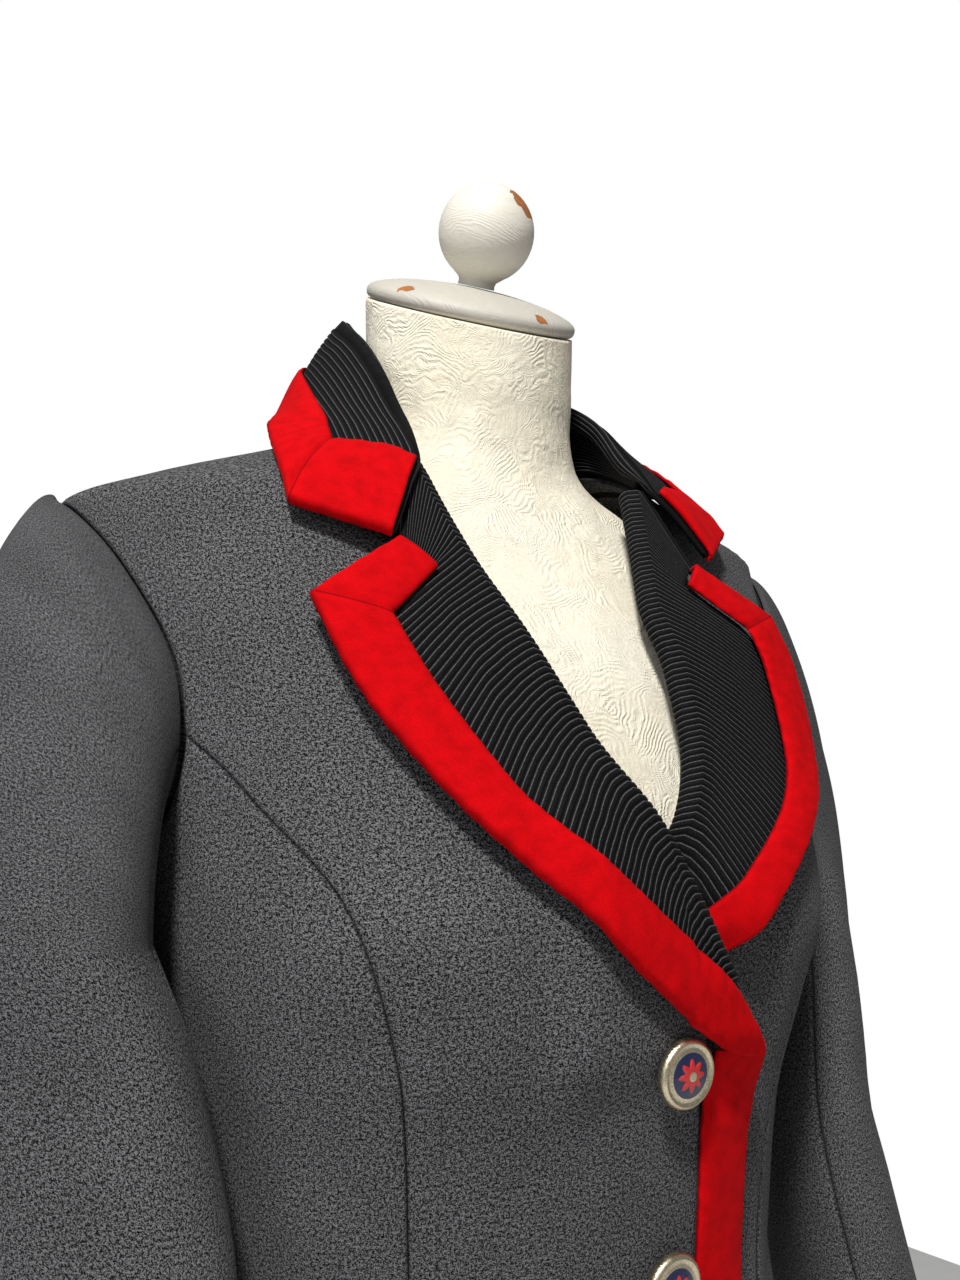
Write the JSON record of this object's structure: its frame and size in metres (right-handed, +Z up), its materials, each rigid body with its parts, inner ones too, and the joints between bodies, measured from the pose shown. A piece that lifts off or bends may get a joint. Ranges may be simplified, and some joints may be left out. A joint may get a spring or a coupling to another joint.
{
  "type": "wool coat on dress form",
  "caption": "Grey wool coat with a ribbed black notched collar, red velvet edges and domed metal buttons, worn by a plastered dress form on a stand.",
  "frame": {"origin": "centre of the base's underside", "axes": "+Z up, -Y towards the front of the coat, -X to the wearer's right"},
  "size_m": [0.5051, 0.301, 1.0961],
  "materials": {
    "grey_wool": "brushed melange flannel",
    "red_velvet": "velvet pile",
    "pleated_black": "finely pleated, dull",
    "button_metal": "pale gilt with enamel",
    "plaster": "trowelled cream plaster",
    "painted_wood": "worn off-white paint",
    "stained_wood": "dark stain, satin"
  },
  "bodies": {
    "root": {"back_left": "grey_wool", "back_right": "grey_wool", "breast_pocket_flap": "red_velvet", "button_1": "button_metal", "button_2": "button_metal", "button_3": "button_metal", "button_4": "button_metal", "button_5": "button_metal", "button_6": "button_metal", "collar": "pleated_black", "collar_stand": "pleated_black", "collar_trim": "red_velvet", "dress_form": "plaster", "finial": "painted_wood", "foot_base": "stained_wood", "front_band": "red_velvet", "front_left": "grey_wool", "front_right": "grey_wool", "lapel_facing_left": "pleated_black", "lapel_facing_right": "pleated_black", "lapel_trim_left": "red_velvet", "lapel_trim_right": "red_velvet", "neck_cap": "painted_wood", "pole": "stained_wood", "side_back_left": "grey_wool", "side_back_right": "grey_wool", "side_front_left": "grey_wool", "side_front_right": "grey_wool", "top_sleeve_left": "grey_wool", "top_sleeve_right": "grey_wool", "under_sleeve_left": "grey_wool", "under_sleeve_right": "grey_wool"}
  },
  "joints": []
}
